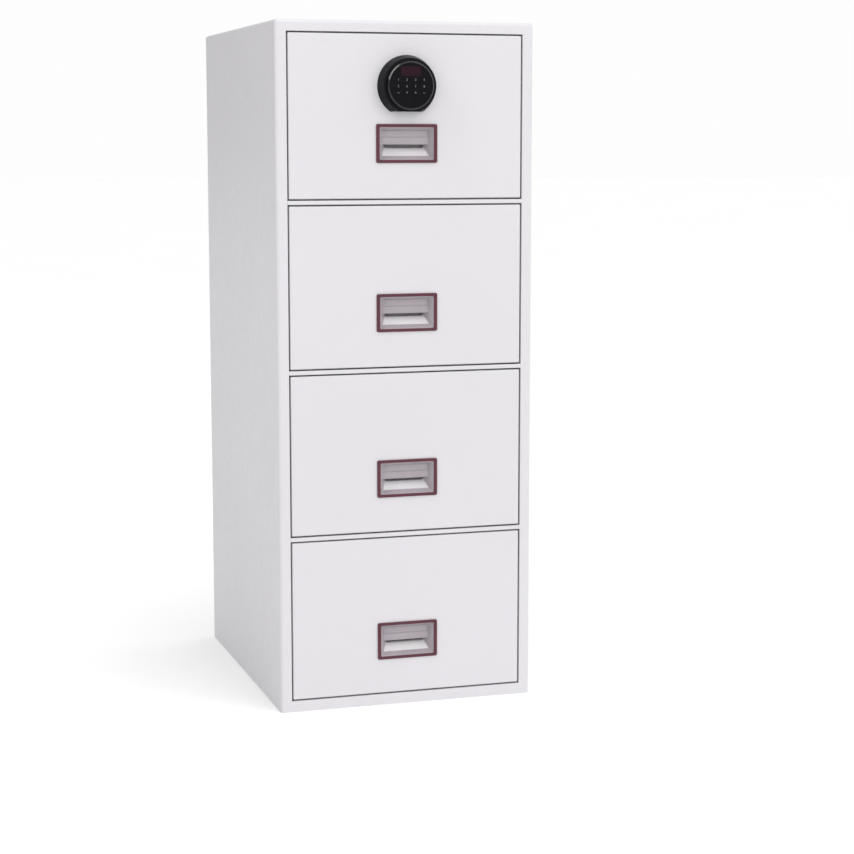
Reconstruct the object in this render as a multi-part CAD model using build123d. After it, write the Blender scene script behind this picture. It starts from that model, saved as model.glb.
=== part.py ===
from build123d import *
import math
import os

# Fireproof filing cabinet with insulated drawers, telescopic slides and a gang lock.
# Millimetres, +Z up, the drawers open towards -Y. The origin is the middle of the footprint, on the floor.

# Casing
WIDTH = 530.0
DEPTH = 675.0
HEIGHT = 1375.0
DRAWERS = 4
CASING_SHEET = 1.5
CORNER_RADIUS = 7.0
FOLD_RADIUS = 1.2

# Front frame round the drawers
BORDER = 22.5
DIVIDER_HEIGHT = 8.0
FACE_GAP = 3.0

# Insulation and the compartments that it leaves
SIDE_FILL = 45.0
BACK_FILL = 45.0
SHELF_FILL = 42.5
LINER_SHEET = 1.0

# Fire seal between the frame's rebate and a closed drawer
SEAL_THICKNESS = 2.5
SEAL_WIDTH = 8.0
SEAL_INSET = 2.0
SEAL_GAP = 0.5

# Drawer head: pressed face, insulation and the plug that enters the compartment
FACE_DEPTH = 20.0
FACE_SHEET = 1.5
FACE_EDGE_RADIUS = 2.5
FACE_CORNER_CUT = 1.5
PLUG_DEPTH = 45.0
PLUG_GAP = 3.0
HEAD_SHEET = 1.0

# Drawer tray and its file rails
TRAY_SHEET = 1.0
TRAY_LIFT = 10.0
TRAY_HEADROOM = 35.0
TRAY_REAR_GAP = 12.5
TRAY_FLANGE = 15.0
RAIL_SHEET = 1.2
RAIL_WIDTH = 8.4
RAIL_DROP = 14.0
RAIL_SETBACK = 2.0

# Telescopic slides, three nested lipped channels a side
SLIDE_SPACE = 13.5
SLIDE_HEIGHT = 45.0
SLIDE_SHEET = 1.2
SLIDE_CLEARANCE = 0.4
SLIDE_LIP = 5.5
SLIDE_RISE = 70.0
SLIDE_SETBACK = 2.0
SLIDE_REAR_GAP = 20.5
SLIDE_MOUTH = 1.5
NECK_HEIGHT = 28.0

# Handle: a moulded tub with a pull lip, a dark rim and a label card
HANDLE_RISE = 108.0
RIM_WIDTH = 126.0
RIM_HEIGHT = 76.0
RIM_SIDE = 7.0
RIM_END = 6.0
RIM_PROUD = 3.0
RIM_CORNER_CUT = 1.5
RIM_COVER = 2.0
TUB_WALL = 2.0
TUB_FLANGE = 1.2
TUB_CLEARANCE = 0.5
FUNNEL_DEPTH = 11.0
FUNNEL_DRAFT = 6.0
TUB_DEPTH = 34.0
TUB_END_DRAFT = 9.0
TUB_FLOOR_RISE = 19.0
PULL_THICKNESS = 2.5
PULL_HEIGHT = 28.5
LIP_HEIGHT = 14.0
LIP_PROUD = 1.4
LIP_GRIP = 6.5
CARD_WIDTH = 84.0
CARD_HEIGHT = 11.5
CARD_THICKNESS = 0.4
CARD_MARGIN = 1.0

# Lock on the top drawer
LOCK_RISE = 220.0
LOCK_BODY_DEPTH = 24.0
LOCK_WALL = 3.0
LOCK_RIM = 6.0
LOCK_TAPER = 6.5
LOCK_EDGE = 2.0
FLAT_WALL = 2.0
DIAL_RADIUS = 47.5
DIAL_DEPTH = 10.0
DIAL_WELL = 2.0
DIAL_CLEARANCE = 0.4
DIAL_RING = 3.5
DIAL_EDGE = 1.5
PANEL_THICKNESS = 1.2
PANEL_CLEARANCE = 0.2
SENSOR_WIDTH = 42.0
SENSOR_HEIGHT = 18.0
SENSOR_RISE = 28.0
SENSOR_CORNER = 4.0
SPINDLE_RADIUS = 4.0
SPINDLE_CLEARANCE = 0.06
HUB_RADIUS = 9.0
HUB_CLEARANCE = 0.3
BATTERY_LENGTH = 46.5
BATTERY_WIDTH = 26.5
BATTERY_THICKNESS = 17.5
BATTERY_CORNER_CUT = 1.5
BATTERY_GAP = 0.5
CASE_WIDTH = 90.0
CASE_HEIGHT = 56.0
CASE_DEPTH = 30.0
CASE_SHEET = 1.5

# Pinion, rack and gang bar
MODULE = 1.0
PINION_TEETH = 12
PRESSURE_ANGLE = 20.0
PINION_ADDENDUM = 1.0
RACK_ADDENDUM = 0.65
TOOTH_RELIEF = 0.25
BACKLASH = 0.12
RACK_TEETH = 11
BOLT_WIDTH = 8.0
BOLT_HEIGHT = 12.0
BOLT_NOSE = 2.0
BOLT_CLEARANCE = 0.3
WEDGE_CLEARANCE = 0.2
STUD_SETBACK = 11.0
STUD_HALF = 2.5
STUD_REACH = 2.0
STUD_CLEARANCE = 0.5
BAR_WIDTH = 12.0
BAR_THICKNESS = 4.0
BAR_SIDE_GAP = 1.0
BAR_END = 25.0
TAB_TOP = 3.0
GUIDE_CLEARANCE = 0.4
GUIDE_WALL = 3.0
GUIDE_HEIGHT = 16.0
GUIDE_FLOOR = 4.0

# Places that follow from the sizes above
FRONT = -DEPTH / 2
BACK = DEPTH / 2
PITCH = (HEIGHT - 2 * BORDER + DIVIDER_HEIGHT) / DRAWERS
FACE_HEIGHT = PITCH - DIVIDER_HEIGHT - 2 * FACE_GAP
FACE_WIDTH = WIDTH - 2 * BORDER - 2 * FACE_GAP
OPENING_HALF = WIDTH / 2 - BORDER
FACE_BACK = FRONT + FACE_DEPTH
REBATE = FACE_BACK + SEAL_GAP + SEAL_THICKNESS
CAVITY_FRONT = REBATE + CASING_SHEET
CAVITY_BACK = BACK - CASING_SHEET - BACK_FILL - LINER_SHEET
CAVITY_HALF = WIDTH / 2 - CASING_SHEET - SIDE_FILL - LINER_SHEET
CAVITY_HEIGHT = PITCH - SHELF_FILL - 2 * LINER_SHEET
PLUG_HALF = CAVITY_HALF - PLUG_GAP
PLUG_HEIGHT = CAVITY_HEIGHT - 2 * PLUG_GAP
PLUG_BACK = FACE_BACK + PLUG_DEPTH
TRAY_HALF = CAVITY_HALF - SLIDE_SPACE
TRAY_HEIGHT = CAVITY_HEIGHT - TRAY_LIFT - TRAY_HEADROOM
TRAY_BACK = CAVITY_BACK - TRAY_REAR_GAP
SLIDE_FRONT = PLUG_BACK + SLIDE_SETBACK
SLIDE_BACK = CAVITY_BACK - SLIDE_REAR_GAP
PITCH_RADIUS = MODULE * PINION_TEETH / 2
LIFT = PITCH_RADIUS * math.pi / 2
BOLT_TIP = FACE_WIDTH / 2 - BOLT_CLEARANCE
WELL_RADIUS = DIAL_RADIUS + DIAL_CLEARANCE
LOCK_FRONT_RADIUS = WELL_RADIUS + LOCK_RIM
LOCK_BASE_RADIUS = LOCK_FRONT_RADIUS + LOCK_TAPER
LOCK_FLAT = WELL_RADIUS + FLAT_WALL
HUB_BORE = HUB_RADIUS + HUB_CLEARANCE
LOCK_BOSS = HUB_BORE + LOCK_WALL
STUD_Y = FRONT + STUD_SETBACK
BAR_INNER = OPENING_HALF + CASING_SHEET + BAR_SIDE_GAP


def face_centre(number):
    """Height of the middle of a drawer's face; drawer 1 is the top one."""
    return HEIGHT - BORDER - FACE_GAP - FACE_HEIGHT / 2 - (number - 1) * PITCH


def face_bottom(number):
    """Height of the lower edge of a drawer's face."""
    return face_centre(number) - FACE_HEIGHT / 2


def cavity_bottom(number):
    """Height of the floor of a drawer's compartment."""
    return face_centre(number) - CAVITY_HEIGHT / 2


LOCK_Z = face_bottom(1) + LOCK_RISE
RACK_PITCH_Z = LOCK_Z + PITCH_RADIUS
BOLT_BOTTOM = RACK_PITCH_Z + PINION_ADDENDUM + TOOTH_RELIEF
WEDGE_Z = BOLT_BOTTOM + BOLT_NOSE


def block(x0, x1, y0, y1, z0, z1):
    """A box between two corners."""
    return Pos((x0 + x1) / 2, (y0 + y1) / 2, (z0 + z1) / 2) * Box(x1 - x0, y1 - y0, z1 - z0)


def across(half_width, y0, y1, z0, z1):
    """A box that is symmetric about the middle plane."""
    return block(-half_width, half_width, y0, y1, z0, z1)


def along_y(outline, y0, y1):
    """A face in the X-Z plane, extruded from y0 back to y1."""
    return extrude(Plane.XZ.offset(-y1) * outline, y1 - y0)


def along_x(outline, x0, x1):
    """A face in the Y-Z plane, extruded from x0 to x1."""
    return extrude(Plane.YZ.offset(x0) * outline, x1 - x0)


def polygon(*points):
    """A flat face with straight edges."""
    return make_face(Polyline(*points, close=True))


def disc(radius, y0, y1, x, z):
    """A round bar along Y."""
    return along_y(Pos(x, z) * Circle(radius), y0, y1)


def folded(points, sheet):
    """The section of a folded strip: its outer line of points, thickened to the left."""
    return make_face(offset(Polyline(*points), amount=sheet, side=Side.LEFT, kind=Kind.INTERSECTION))


def mirrored(solid):
    """A right-hand piece and its left-hand twin."""
    return [solid, mirror(solid, about=Plane.YZ)]


def edges_along(solid, axis, at_axis, value):
    """The edges parallel to an axis whose middle lies at one value of another axis."""
    picked = solid.edges().filter_by(axis)
    return picked.filter_by_position(at_axis, value - 0.01, value + 0.01)


# Casing


def rounded_wrap(half_width, front, back, bottom, top, radius):
    """A box with rounded front corners and rounded top edges at the front and sides."""
    body = across(half_width, front, back, bottom, top)
    upright = edges_along(body, Axis.Z, Axis.Y, front)
    top_sides = edges_along(body, Axis.Y, Axis.Z, top)
    top_front = edges_along(body, Axis.X, Axis.Z, top).filter_by_position(Axis.Y, front - 0.01, front + 0.01)
    return fillet(upright + top_sides + top_front, radius)


def stud_slot(number, x0, x1):
    """The upright slot in the casing that a gang stud rises in."""
    half = STUD_HALF + STUD_CLEARANCE
    z = face_centre(number)
    return block(x0, x1, STUD_Y - half, STUD_Y + half, z - half, z + LIFT + half)


def bolt_window(x0, x1, low, high):
    """The window that the lock's bolt passes through."""
    half = BOLT_WIDTH / 2 + BOLT_CLEARANCE
    return block(x0, x1, STUD_Y - half, STUD_Y + half, low, high)


def outer_casing():
    """Folded wrap: sides and top, with the border turned in at the front and returned to the rebate."""
    wrap = rounded_wrap(WIDTH / 2, FRONT, BACK, 0, HEIGHT, CORNER_RADIUS)
    hollow = rounded_wrap(
        WIDTH / 2 - CASING_SHEET,
        FRONT + CASING_SHEET,
        BACK + CASING_SHEET,
        -CASING_SHEET,
        HEIGHT - CASING_SHEET,
        CORNER_RADIUS - CASING_SHEET,
    )
    returned = across(
        OPENING_HALF + CASING_SHEET,
        FRONT + CASING_SHEET / 2,
        REBATE,
        BORDER - CASING_SHEET,
        HEIGHT - BORDER + CASING_SHEET,
    )
    opening = across(OPENING_HALF, FRONT - CASING_SHEET, REBATE + CASING_SHEET, BORDER, HEIGHT - BORDER)
    casing = wrap - hollow + returned - opening
    mouth = casing.edges().filter_by_position(Axis.Y, FRONT - 0.01, FRONT + 0.01)
    mouth = mouth.filter_by_position(Axis.X, -OPENING_HALF - 0.01, OPENING_HALF + 0.01)
    mouth = mouth.filter_by_position(Axis.Z, BORDER - 0.01, HEIGHT - BORDER + 0.01)
    casing = fillet(mouth, FOLD_RADIUS)
    wall_in = OPENING_HALF - CASING_SHEET
    wall_out = OPENING_HALF + 2 * CASING_SHEET
    for number in range(1, DRAWERS + 1):
        casing -= stud_slot(number, wall_in, wall_out)
    tab_low = tab_underside(BAR_INNER + BAR_THICKNESS) - BOLT_CLEARANCE
    tab_high = WEDGE_Z + TAB_TOP + LIFT + BOLT_CLEARANCE
    return casing - bolt_window(wall_in, wall_out, tab_low, tab_high)


def front_dividers():
    """Channels that close the front between one drawer and the next."""
    pieces = []
    for number in range(1, DRAWERS):
        middle = face_centre(number) - PITCH / 2
        half = DIVIDER_HEIGHT / 2
        channel = across(OPENING_HALF, FRONT, REBATE, middle - half, middle + half)
        channel = fillet(edges_along(channel, Axis.X, Axis.Y, FRONT), FOLD_RADIUS)
        inside = half - CASING_SHEET
        hollow = across(OPENING_HALF + 1, FRONT + CASING_SHEET, REBATE + 1, middle - inside, middle + inside)
        pieces.append(channel - hollow)
    return pieces


def rebate_frame():
    """The plate behind the border, with a mouth for each compartment and the seat of its seal."""
    plate = across(
        OPENING_HALF + CASING_SHEET,
        REBATE,
        CAVITY_FRONT,
        BORDER - CASING_SHEET,
        HEIGHT - BORDER + CASING_SHEET,
    )
    for number in range(1, DRAWERS + 1):
        low = cavity_bottom(number)
        plate -= across(CAVITY_HALF, REBATE - 1, CAVITY_FRONT + 1, low, low + CAVITY_HEIGHT)
    return plate


def back_panel():
    """Flat plate inside the back of the wrap."""
    half = WIDTH / 2 - CASING_SHEET
    plate = across(half, BACK - CASING_SHEET, BACK, CASING_SHEET, HEIGHT - CASING_SHEET)
    corners = edges_along(plate, Axis.Y, Axis.Z, HEIGHT - CASING_SHEET)
    return fillet(corners, CORNER_RADIUS - CASING_SHEET)


def base_pan():
    """Flat bottom plate, flush with the lower edge of the wrap."""
    half = WIDTH / 2 - CASING_SHEET
    plate = across(half, FRONT + CASING_SHEET, BACK, 0, CASING_SHEET)
    corners = edges_along(plate, Axis.Z, Axis.Y, FRONT + CASING_SHEET)
    return fillet(corners, CORNER_RADIUS - CASING_SHEET)


def insulation_panels():
    """Cast insulation: two sides, the back, and a slab above, between and below the compartments."""
    outer = WIDTH / 2 - CASING_SHEET
    inner = outer - SIDE_FILL
    top = HEIGHT - CASING_SHEET
    fill_back = BACK - CASING_SHEET
    side = block(inner, outer, CAVITY_FRONT, fill_back, CASING_SHEET, top)
    shoulder = edges_along(side, Axis.Y, Axis.Z, top).filter_by_position(Axis.X, outer - 0.01, outer + 0.01)
    pieces = mirrored(chamfer(shoulder, CORNER_RADIUS - CASING_SHEET))
    liner_back = CAVITY_BACK + LINER_SHEET
    pieces.append(across(inner, liner_back, fill_back, CASING_SHEET, top))
    ceiling = top
    for number in range(1, DRAWERS + 1):
        low = cavity_bottom(number) + CAVITY_HEIGHT + LINER_SHEET
        pieces.append(across(inner, CAVITY_FRONT, liner_back, low, ceiling))
        ceiling = cavity_bottom(number) - LINER_SHEET
    pieces.append(across(inner, CAVITY_FRONT, liner_back, CASING_SHEET, ceiling))
    return pieces


def compartment_liners():
    """A sheet box inside the insulation for each drawer, open at the front."""
    pieces = []
    for number in range(1, DRAWERS + 1):
        low = cavity_bottom(number)
        high = low + CAVITY_HEIGHT
        sheet = LINER_SHEET
        box = across(CAVITY_HALF + sheet, CAVITY_FRONT, CAVITY_BACK + sheet, low - sheet, high + sheet)
        pieces.append(box - across(CAVITY_HALF, CAVITY_FRONT - sheet, CAVITY_BACK, low, high))
    return pieces


def fire_seals():
    """Strips on the rebate that swell in a fire and shut the gap behind each drawer's face."""
    pieces = []
    for number in range(1, DRAWERS + 1):
        centre = face_centre(number)
        half = FACE_WIDTH / 2 - SEAL_INSET
        rise = FACE_HEIGHT / 2 - SEAL_INSET
        ring = across(half, REBATE - SEAL_THICKNESS, REBATE, centre - rise, centre + rise)
        half -= SEAL_WIDTH
        rise -= SEAL_WIDTH
        ring -= across(half, REBATE - 2 * SEAL_THICKNESS, REBATE + 1, centre - rise, centre + rise)
        pieces.append(ring)
    return pieces


# Telescopic slides


def slide_middle(number):
    """Height of a drawer's slides."""
    return cavity_bottom(number) + SLIDE_RISE


def lipped_channel(wall_x, mouth_x, half_height, lip, number):
    """A channel against a wall on the right, with lips that hold the channel inside it."""
    z = slide_middle(number)
    outline = [
        (mouth_x, z + half_height - lip),
        (mouth_x, z + half_height),
        (wall_x, z + half_height),
        (wall_x, z - half_height),
        (mouth_x, z - half_height),
        (mouth_x, z - half_height + lip),
    ]
    section = folded(outline[::-1], SLIDE_SHEET)
    return along_y(section, SLIDE_FRONT, SLIDE_BACK)


SLIDE_STEP = SLIDE_SHEET + SLIDE_CLEARANCE
SLIDE_OUTER_MOUTH = TRAY_HALF + SLIDE_MOUTH


def cabinet_slide_members():
    """Outer channels, fixed to the walls of the compartments."""
    pieces = []
    for number in range(1, DRAWERS + 1):
        member = lipped_channel(CAVITY_HALF, SLIDE_OUTER_MOUTH, SLIDE_HEIGHT / 2, SLIDE_LIP, number)
        pieces += mirrored(member)
    return pieces


def slide_middle_members(number):
    """Middle channels of one drawer, which travel half as far as the drawer."""
    wall = CAVITY_HALF - SLIDE_STEP
    mouth = SLIDE_OUTER_MOUTH + SLIDE_STEP
    return mirrored(lipped_channel(wall, mouth, SLIDE_HEIGHT / 2 - SLIDE_STEP, SLIDE_LIP, number))


def drawer_slide_members(number):
    """Inner members, fixed to the tray through the mouths of the channels."""
    z = slide_middle(number)
    inner = SLIDE_OUTER_MOUTH + 2 * SLIDE_STEP
    tip = CAVITY_HALF - 2 * SLIDE_STEP
    half = SLIDE_HEIGHT / 2 - 2 * SLIDE_STEP
    neck = NECK_HEIGHT / 2
    outline = [
        (tip, z + half),
        (inner, z + half),
        (inner, z + neck),
        (TRAY_HALF, z + neck),
        (TRAY_HALF, z - neck),
        (inner, z - neck),
        (inner, z - half),
        (tip, z - half),
    ]
    section = folded(outline, SLIDE_SHEET)
    return mirrored(along_y(section, SLIDE_FRONT, SLIDE_BACK))


# Drawer


def handle_centre(number):
    """Height of the middle of a drawer's handle."""
    return face_bottom(number) + HANDLE_RISE


def drawer_face(number):
    """Pressed steel face, with the handle's opening and the slot that the gang stud locks in."""
    z = face_centre(number)
    half = FACE_WIDTH / 2
    rise = FACE_HEIGHT / 2
    pan = across(half, FRONT, FACE_BACK, z - rise, z + rise)
    pan = chamfer(pan.edges().filter_by(Axis.Y), FACE_CORNER_CUT)
    pan = fillet(pan.edges().group_by(Axis.Y)[0], FACE_EDGE_RADIUS)
    inside_half = half - FACE_SHEET
    inside_rise = rise - FACE_SHEET
    inside = across(inside_half, FRONT + FACE_SHEET, FACE_BACK + 1, z - inside_rise, z + inside_rise)
    pan = pan - inside - handle_hole(number)
    slot = STUD_HALF + STUD_CLEARANCE
    wall = half - 2 * FACE_SHEET
    pan -= block(wall, half + 1, STUD_Y - slot, FACE_BACK + 1, z - slot, z + slot)
    pan -= block(wall, half + 1, STUD_Y - slot, STUD_Y + slot, z - slot, z + LIFT + slot)
    if number == 1:
        pan -= disc(HUB_BORE, FRONT - 1, FRONT + 2 * FACE_SHEET, 0, LOCK_Z)
        bolt_low = BOLT_BOTTOM - BOLT_CLEARANCE
        pan -= bolt_window(wall, half + 1, bolt_low, BOLT_BOTTOM + BOLT_HEIGHT + BOLT_CLEARANCE)
    return pan


def drawer_head_shell(number):
    """Flanged pan behind the face: it holds the insulation and is the plug that enters the compartment."""
    z = face_centre(number)
    half = FACE_WIDTH / 2 - FACE_SHEET
    rise = FACE_HEIGHT / 2 - FACE_SHEET
    flange = across(half, FACE_BACK - HEAD_SHEET, FACE_BACK, z - rise, z + rise)
    plug_rise = PLUG_HEIGHT / 2
    plug = across(PLUG_HALF, FACE_BACK - HEAD_SHEET, PLUG_BACK, z - plug_rise, z + plug_rise)
    hollow = across(
        PLUG_HALF - HEAD_SHEET,
        FRONT,
        PLUG_BACK - HEAD_SHEET,
        z - plug_rise + HEAD_SHEET,
        z + plug_rise - HEAD_SHEET,
    )
    slot = STUD_HALF + STUD_CLEARANCE
    return flange + plug - hollow - stud_pocket(number, FACE_BACK + 1, slot)


def stud_pocket(number, back, slot):
    """Room inside a drawer's edge for the end of the gang stud."""
    z = face_centre(number)
    x0 = FACE_WIDTH / 2 - FACE_SHEET - STUD_REACH - STUD_CLEARANCE
    x1 = FACE_WIDTH / 2 - FACE_SHEET + STUD_CLEARANCE
    return block(x0, x1, STUD_Y - slot, back, z - slot, z + LIFT + slot)


def drawer_insulation(number):
    """Insulating block that fills the face and the plug, with pockets for what is set into it."""
    z = face_centre(number)
    half = FACE_WIDTH / 2 - FACE_SHEET
    rise = FACE_HEIGHT / 2 - FACE_SHEET
    slab = across(half, FRONT + FACE_SHEET, FACE_BACK - HEAD_SHEET, z - rise, z + rise)
    plug_half = PLUG_HALF - HEAD_SHEET
    plug_rise = PLUG_HEIGHT / 2 - HEAD_SHEET
    plug_front = FACE_BACK - 2 * HEAD_SHEET
    slab += across(plug_half, plug_front, PLUG_BACK - HEAD_SHEET, z - plug_rise, z + plug_rise)
    slab -= tub_envelope(number)
    slot = STUD_HALF + STUD_CLEARANCE
    slab -= stud_pocket(number, FACE_BACK - HEAD_SHEET, slot)
    if number == 1:
        case_half = CASE_WIDTH / 2 + BOLT_CLEARANCE
        case_rise = CASE_HEIGHT / 2 + BOLT_CLEARANCE
        case_back = FRONT + FACE_SHEET + CASE_DEPTH
        slab -= across(case_half, FRONT, case_back, LOCK_Z - case_rise, LOCK_Z + case_rise)
        bolt_low = BOLT_BOTTOM - BOLT_CLEARANCE
        slab -= bolt_window(0, half + 1, bolt_low, BOLT_BOTTOM + BOLT_HEIGHT + BOLT_CLEARANCE)
    return slab


def drawer_tray(number):
    """Folded tray behind the plug: floor, sides and back, with flanges that fasten it to the head."""
    low = cavity_bottom(number) + TRAY_LIFT
    high = low + TRAY_HEIGHT
    tray = across(TRAY_HALF, PLUG_BACK, TRAY_BACK, low, high)
    inside = TRAY_HALF - TRAY_SHEET
    tray -= across(inside, PLUG_BACK - 1, TRAY_BACK - TRAY_SHEET, low + TRAY_SHEET, high + 1)
    flange = block(inside - TRAY_FLANGE, inside, PLUG_BACK, PLUG_BACK + TRAY_SHEET, low, high)
    for piece in mirrored(flange):
        tray += piece
    return tray


def file_rails(number):
    """Channels clipped over the tray's sides; the hooks of hanging files slide on them."""
    top = cavity_bottom(number) + TRAY_LIFT + TRAY_HEIGHT
    outer = TRAY_HALF + RAIL_SHEET
    inner = outer - RAIL_WIDTH
    outline = [
        (inner, top + RAIL_SHEET - RAIL_DROP),
        (inner, top + RAIL_SHEET),
        (outer, top + RAIL_SHEET),
        (outer, top + RAIL_SHEET - RAIL_DROP),
    ]
    section = folded(outline[::-1], RAIL_SHEET)
    return mirrored(along_y(section, PLUG_BACK + RAIL_SETBACK, TRAY_BACK - RAIL_SETBACK))


# Handle


def tub_corners(depth, half_width, low, high, number):
    """The corners of a section of the handle's tub, at a depth behind the face."""
    y = FRONT + depth
    z = handle_centre(number)
    outline = [(-half_width, low), (half_width, low), (half_width, high), (-half_width, high)]
    return [(x, y, z + rise) for x, rise in outline]


def flat_sided(near, far):
    """A solid with flat sides between two rectangles."""
    faces = [polygon(*near), polygon(*far)]
    for corner in range(4):
        following = (corner + 1) % 4
        faces.append(polygon(near[corner], near[following], far[following], far[corner]))
    return Solid(Shell(faces))


MOUTH_HALF = RIM_WIDTH / 2 - RIM_SIDE
MOUTH_RISE = RIM_HEIGHT / 2 - RIM_END
THROAT_HALF = MOUTH_HALF - FUNNEL_DRAFT
THROAT_RISE = MOUTH_RISE - FUNNEL_DRAFT + 1


def tub_form(grow, front_depth):
    """The tub's sections, grown outwards by a wall: bevelled mouth, throat and back of the cup."""
    back_half = THROAT_HALF - TUB_END_DRAFT
    back_low = TUB_FLOOR_RISE - THROAT_RISE
    return [
        (front_depth, MOUTH_HALF + grow, -MOUTH_RISE - grow, MOUTH_RISE + grow),
        (FUNNEL_DEPTH, THROAT_HALF + grow, -THROAT_RISE - grow, THROAT_RISE + grow),
        (TUB_DEPTH + grow, back_half + grow, back_low - grow, THROAT_RISE + grow),
    ]


def tub_body(grow, front_depth, number):
    """A solid through the tub's sections."""
    mouth, throat, cup = [tub_corners(*values, number) for values in tub_form(grow, front_depth)]
    return flat_sided(mouth, throat) + flat_sided(throat, cup)


def handle_hole(number):
    """The opening in the face that the tub goes through."""
    z = handle_centre(number)
    half = MOUTH_HALF + TUB_WALL + TUB_CLEARANCE
    rise = MOUTH_RISE + TUB_WALL + TUB_CLEARANCE
    return across(half, FRONT - 1, FRONT + 2 * FACE_SHEET, z - rise, z + rise)


def tub_envelope(number):
    """The pocket in the insulation round the tub."""
    return tub_body(TUB_WALL + TUB_CLEARANCE, 0, number)


def handle_tub(number):
    """Moulded finger tub: flange, bevelled mouth, sloping floor, and the pull lip across its upper part."""
    z = handle_centre(number)
    half = RIM_WIDTH / 2 - RIM_COVER
    rise = RIM_HEIGHT / 2 - RIM_COVER
    tub = across(half, FRONT - TUB_FLANGE, FRONT, z - rise, z + rise)
    tub += tub_body(TUB_WALL, -TUB_FLANGE, number)
    tub -= tub_body(0, -TUB_FLANGE, number)
    top = z + THROAT_RISE + TUB_WALL / 2
    lip_low = z + THROAT_RISE - PULL_HEIGHT
    lip_top = lip_low + LIP_HEIGHT
    plate = FRONT + FUNNEL_DEPTH
    outline = [
        (plate, top),
        (plate, lip_top),
        (plate - LIP_PROUD, lip_top - LIP_PROUD),
        (plate - LIP_PROUD, lip_low + LIP_PROUD),
        (plate, lip_low),
        (plate + LIP_GRIP, lip_low),
        (plate + LIP_GRIP, lip_low + PULL_THICKNESS),
        (plate + PULL_THICKNESS, lip_low + 2 * PULL_THICKNESS),
        (plate + PULL_THICKNESS, top),
    ]
    pull = along_x(polygon(*outline), -THROAT_HALF - TUB_WALL / 2, THROAT_HALF + TUB_WALL / 2)
    return tub + (pull & tub_body(TUB_WALL / 2, -TUB_FLANGE, number))


def handle_trim(number):
    """Dark rim that covers the tub's flange."""
    z = handle_centre(number)
    half = RIM_WIDTH / 2
    rise = RIM_HEIGHT / 2
    rim = across(half, FRONT - RIM_PROUD, FRONT, z - rise, z + rise)
    rim = chamfer(rim.edges().filter_by(Axis.Y), RIM_CORNER_CUT)
    rim = chamfer(rim.edges().group_by(Axis.Y)[0], RIM_PROUD / 2)
    half -= RIM_COVER
    rise -= RIM_COVER
    rim -= across(half, FRONT - TUB_FLANGE, FRONT + 1, z - rise, z + rise)
    return rim - across(MOUTH_HALF, FRONT - 2 * RIM_PROUD, FRONT + 1, z - MOUTH_RISE, z + MOUTH_RISE)


def label_card(number):
    """Blank card that stands on the ledge of the pull lip."""
    low = handle_centre(number) + THROAT_RISE - PULL_HEIGHT + LIP_HEIGHT + CARD_MARGIN
    plate = FRONT + FUNNEL_DEPTH
    return across(CARD_WIDTH / 2, plate - CARD_THICKNESS, plate, low, low + CARD_HEIGHT)


# Lock


def cone_with_flat(base_radius, front_radius, back, front, flat):
    """A tapered round body along Y with a flat underside."""
    cone = Cone(base_radius, front_radius, back - front, align=(Align.CENTER, Align.CENTER, Align.MIN))
    cone = Plane.XZ.offset(-back) * Pos(0, LOCK_Z) * cone
    return cone - across(2 * base_radius, front - 1, back + 1, LOCK_Z - 2 * base_radius, LOCK_Z - flat)


def lock_escutcheon():
    """Black tapered housing with a flat underside, the dial's well and a bay for the batteries."""
    front = FRONT - LOCK_BODY_DEPTH
    body = cone_with_flat(LOCK_BASE_RADIUS, LOCK_FRONT_RADIUS, FRONT, front, LOCK_FLAT)
    body = chamfer(body.edges().group_by(Axis.Y)[0], LOCK_EDGE)
    floor = front + DIAL_WELL + LOCK_WALL
    bay_rise = LOCK_BOSS + BATTERY_WIDTH + 2 * BATTERY_GAP
    bay = across(BATTERY_LENGTH / 2 + BATTERY_GAP, floor, FRONT, LOCK_Z - bay_rise, LOCK_Z + bay_rise)
    body -= bay - across(LOCK_BOSS, floor, FRONT, LOCK_Z - LOCK_BOSS, LOCK_Z + LOCK_BOSS)
    body -= disc(WELL_RADIUS, front - 1, front + DIAL_WELL, 0, LOCK_Z)
    return body - disc(HUB_BORE, front - 1, FRONT + 1, 0, LOCK_Z)


def dial_front():
    """Depth of the dial's rim."""
    return FRONT - LOCK_BODY_DEPTH + DIAL_WELL - DIAL_CLEARANCE - DIAL_DEPTH


def lock_dial():
    """Knob that turns the lock: a raised ring round the panel, a short grip and a hub into the housing."""
    front = dial_front()
    back = front + DIAL_DEPTH
    dial = disc(DIAL_RADIUS, front, back, 0, LOCK_Z)
    dial = chamfer(dial.edges().group_by(Axis.Y)[0], DIAL_EDGE)
    dial -= disc(DIAL_RADIUS - DIAL_RING, front - 1, front + PANEL_THICKNESS, 0, LOCK_Z)
    dial += disc(HUB_RADIUS, back - 1, FRONT, 0, LOCK_Z)
    bore = SPINDLE_RADIUS + SPINDLE_CLEARANCE
    return dial - disc(bore, front + DIAL_DEPTH / 2, FRONT + 1, 0, LOCK_Z)


def sensor_outline():
    """Rounded window above the middle of the panel."""
    return Pos(0, LOCK_Z + SENSOR_RISE) * RectangleRounded(SENSOR_WIDTH, SENSOR_HEIGHT, SENSOR_CORNER)


def touch_panel():
    """Round touch panel in the dial's ring."""
    front = dial_front()
    panel = disc(DIAL_RADIUS - DIAL_RING - PANEL_CLEARANCE, front, front + PANEL_THICKNESS, 0, LOCK_Z)
    return panel - along_y(sensor_outline(), front - 1, front + PANEL_THICKNESS + 1)


def fingerprint_sensor():
    """Smoked window with the finger sensor."""
    front = dial_front()
    window = offset(sensor_outline(), -PANEL_CLEARANCE)
    return along_y(window, front + PANEL_THICKNESS / 3, front + PANEL_THICKNESS)


def involute(radius):
    """Turn of an involute flank, in radians, where it reaches a radius."""
    base = PITCH_RADIUS * math.cos(math.radians(PRESSURE_ANGLE))
    pressure = math.acos(min(1, base / radius))
    return math.tan(pressure) - pressure


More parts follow.
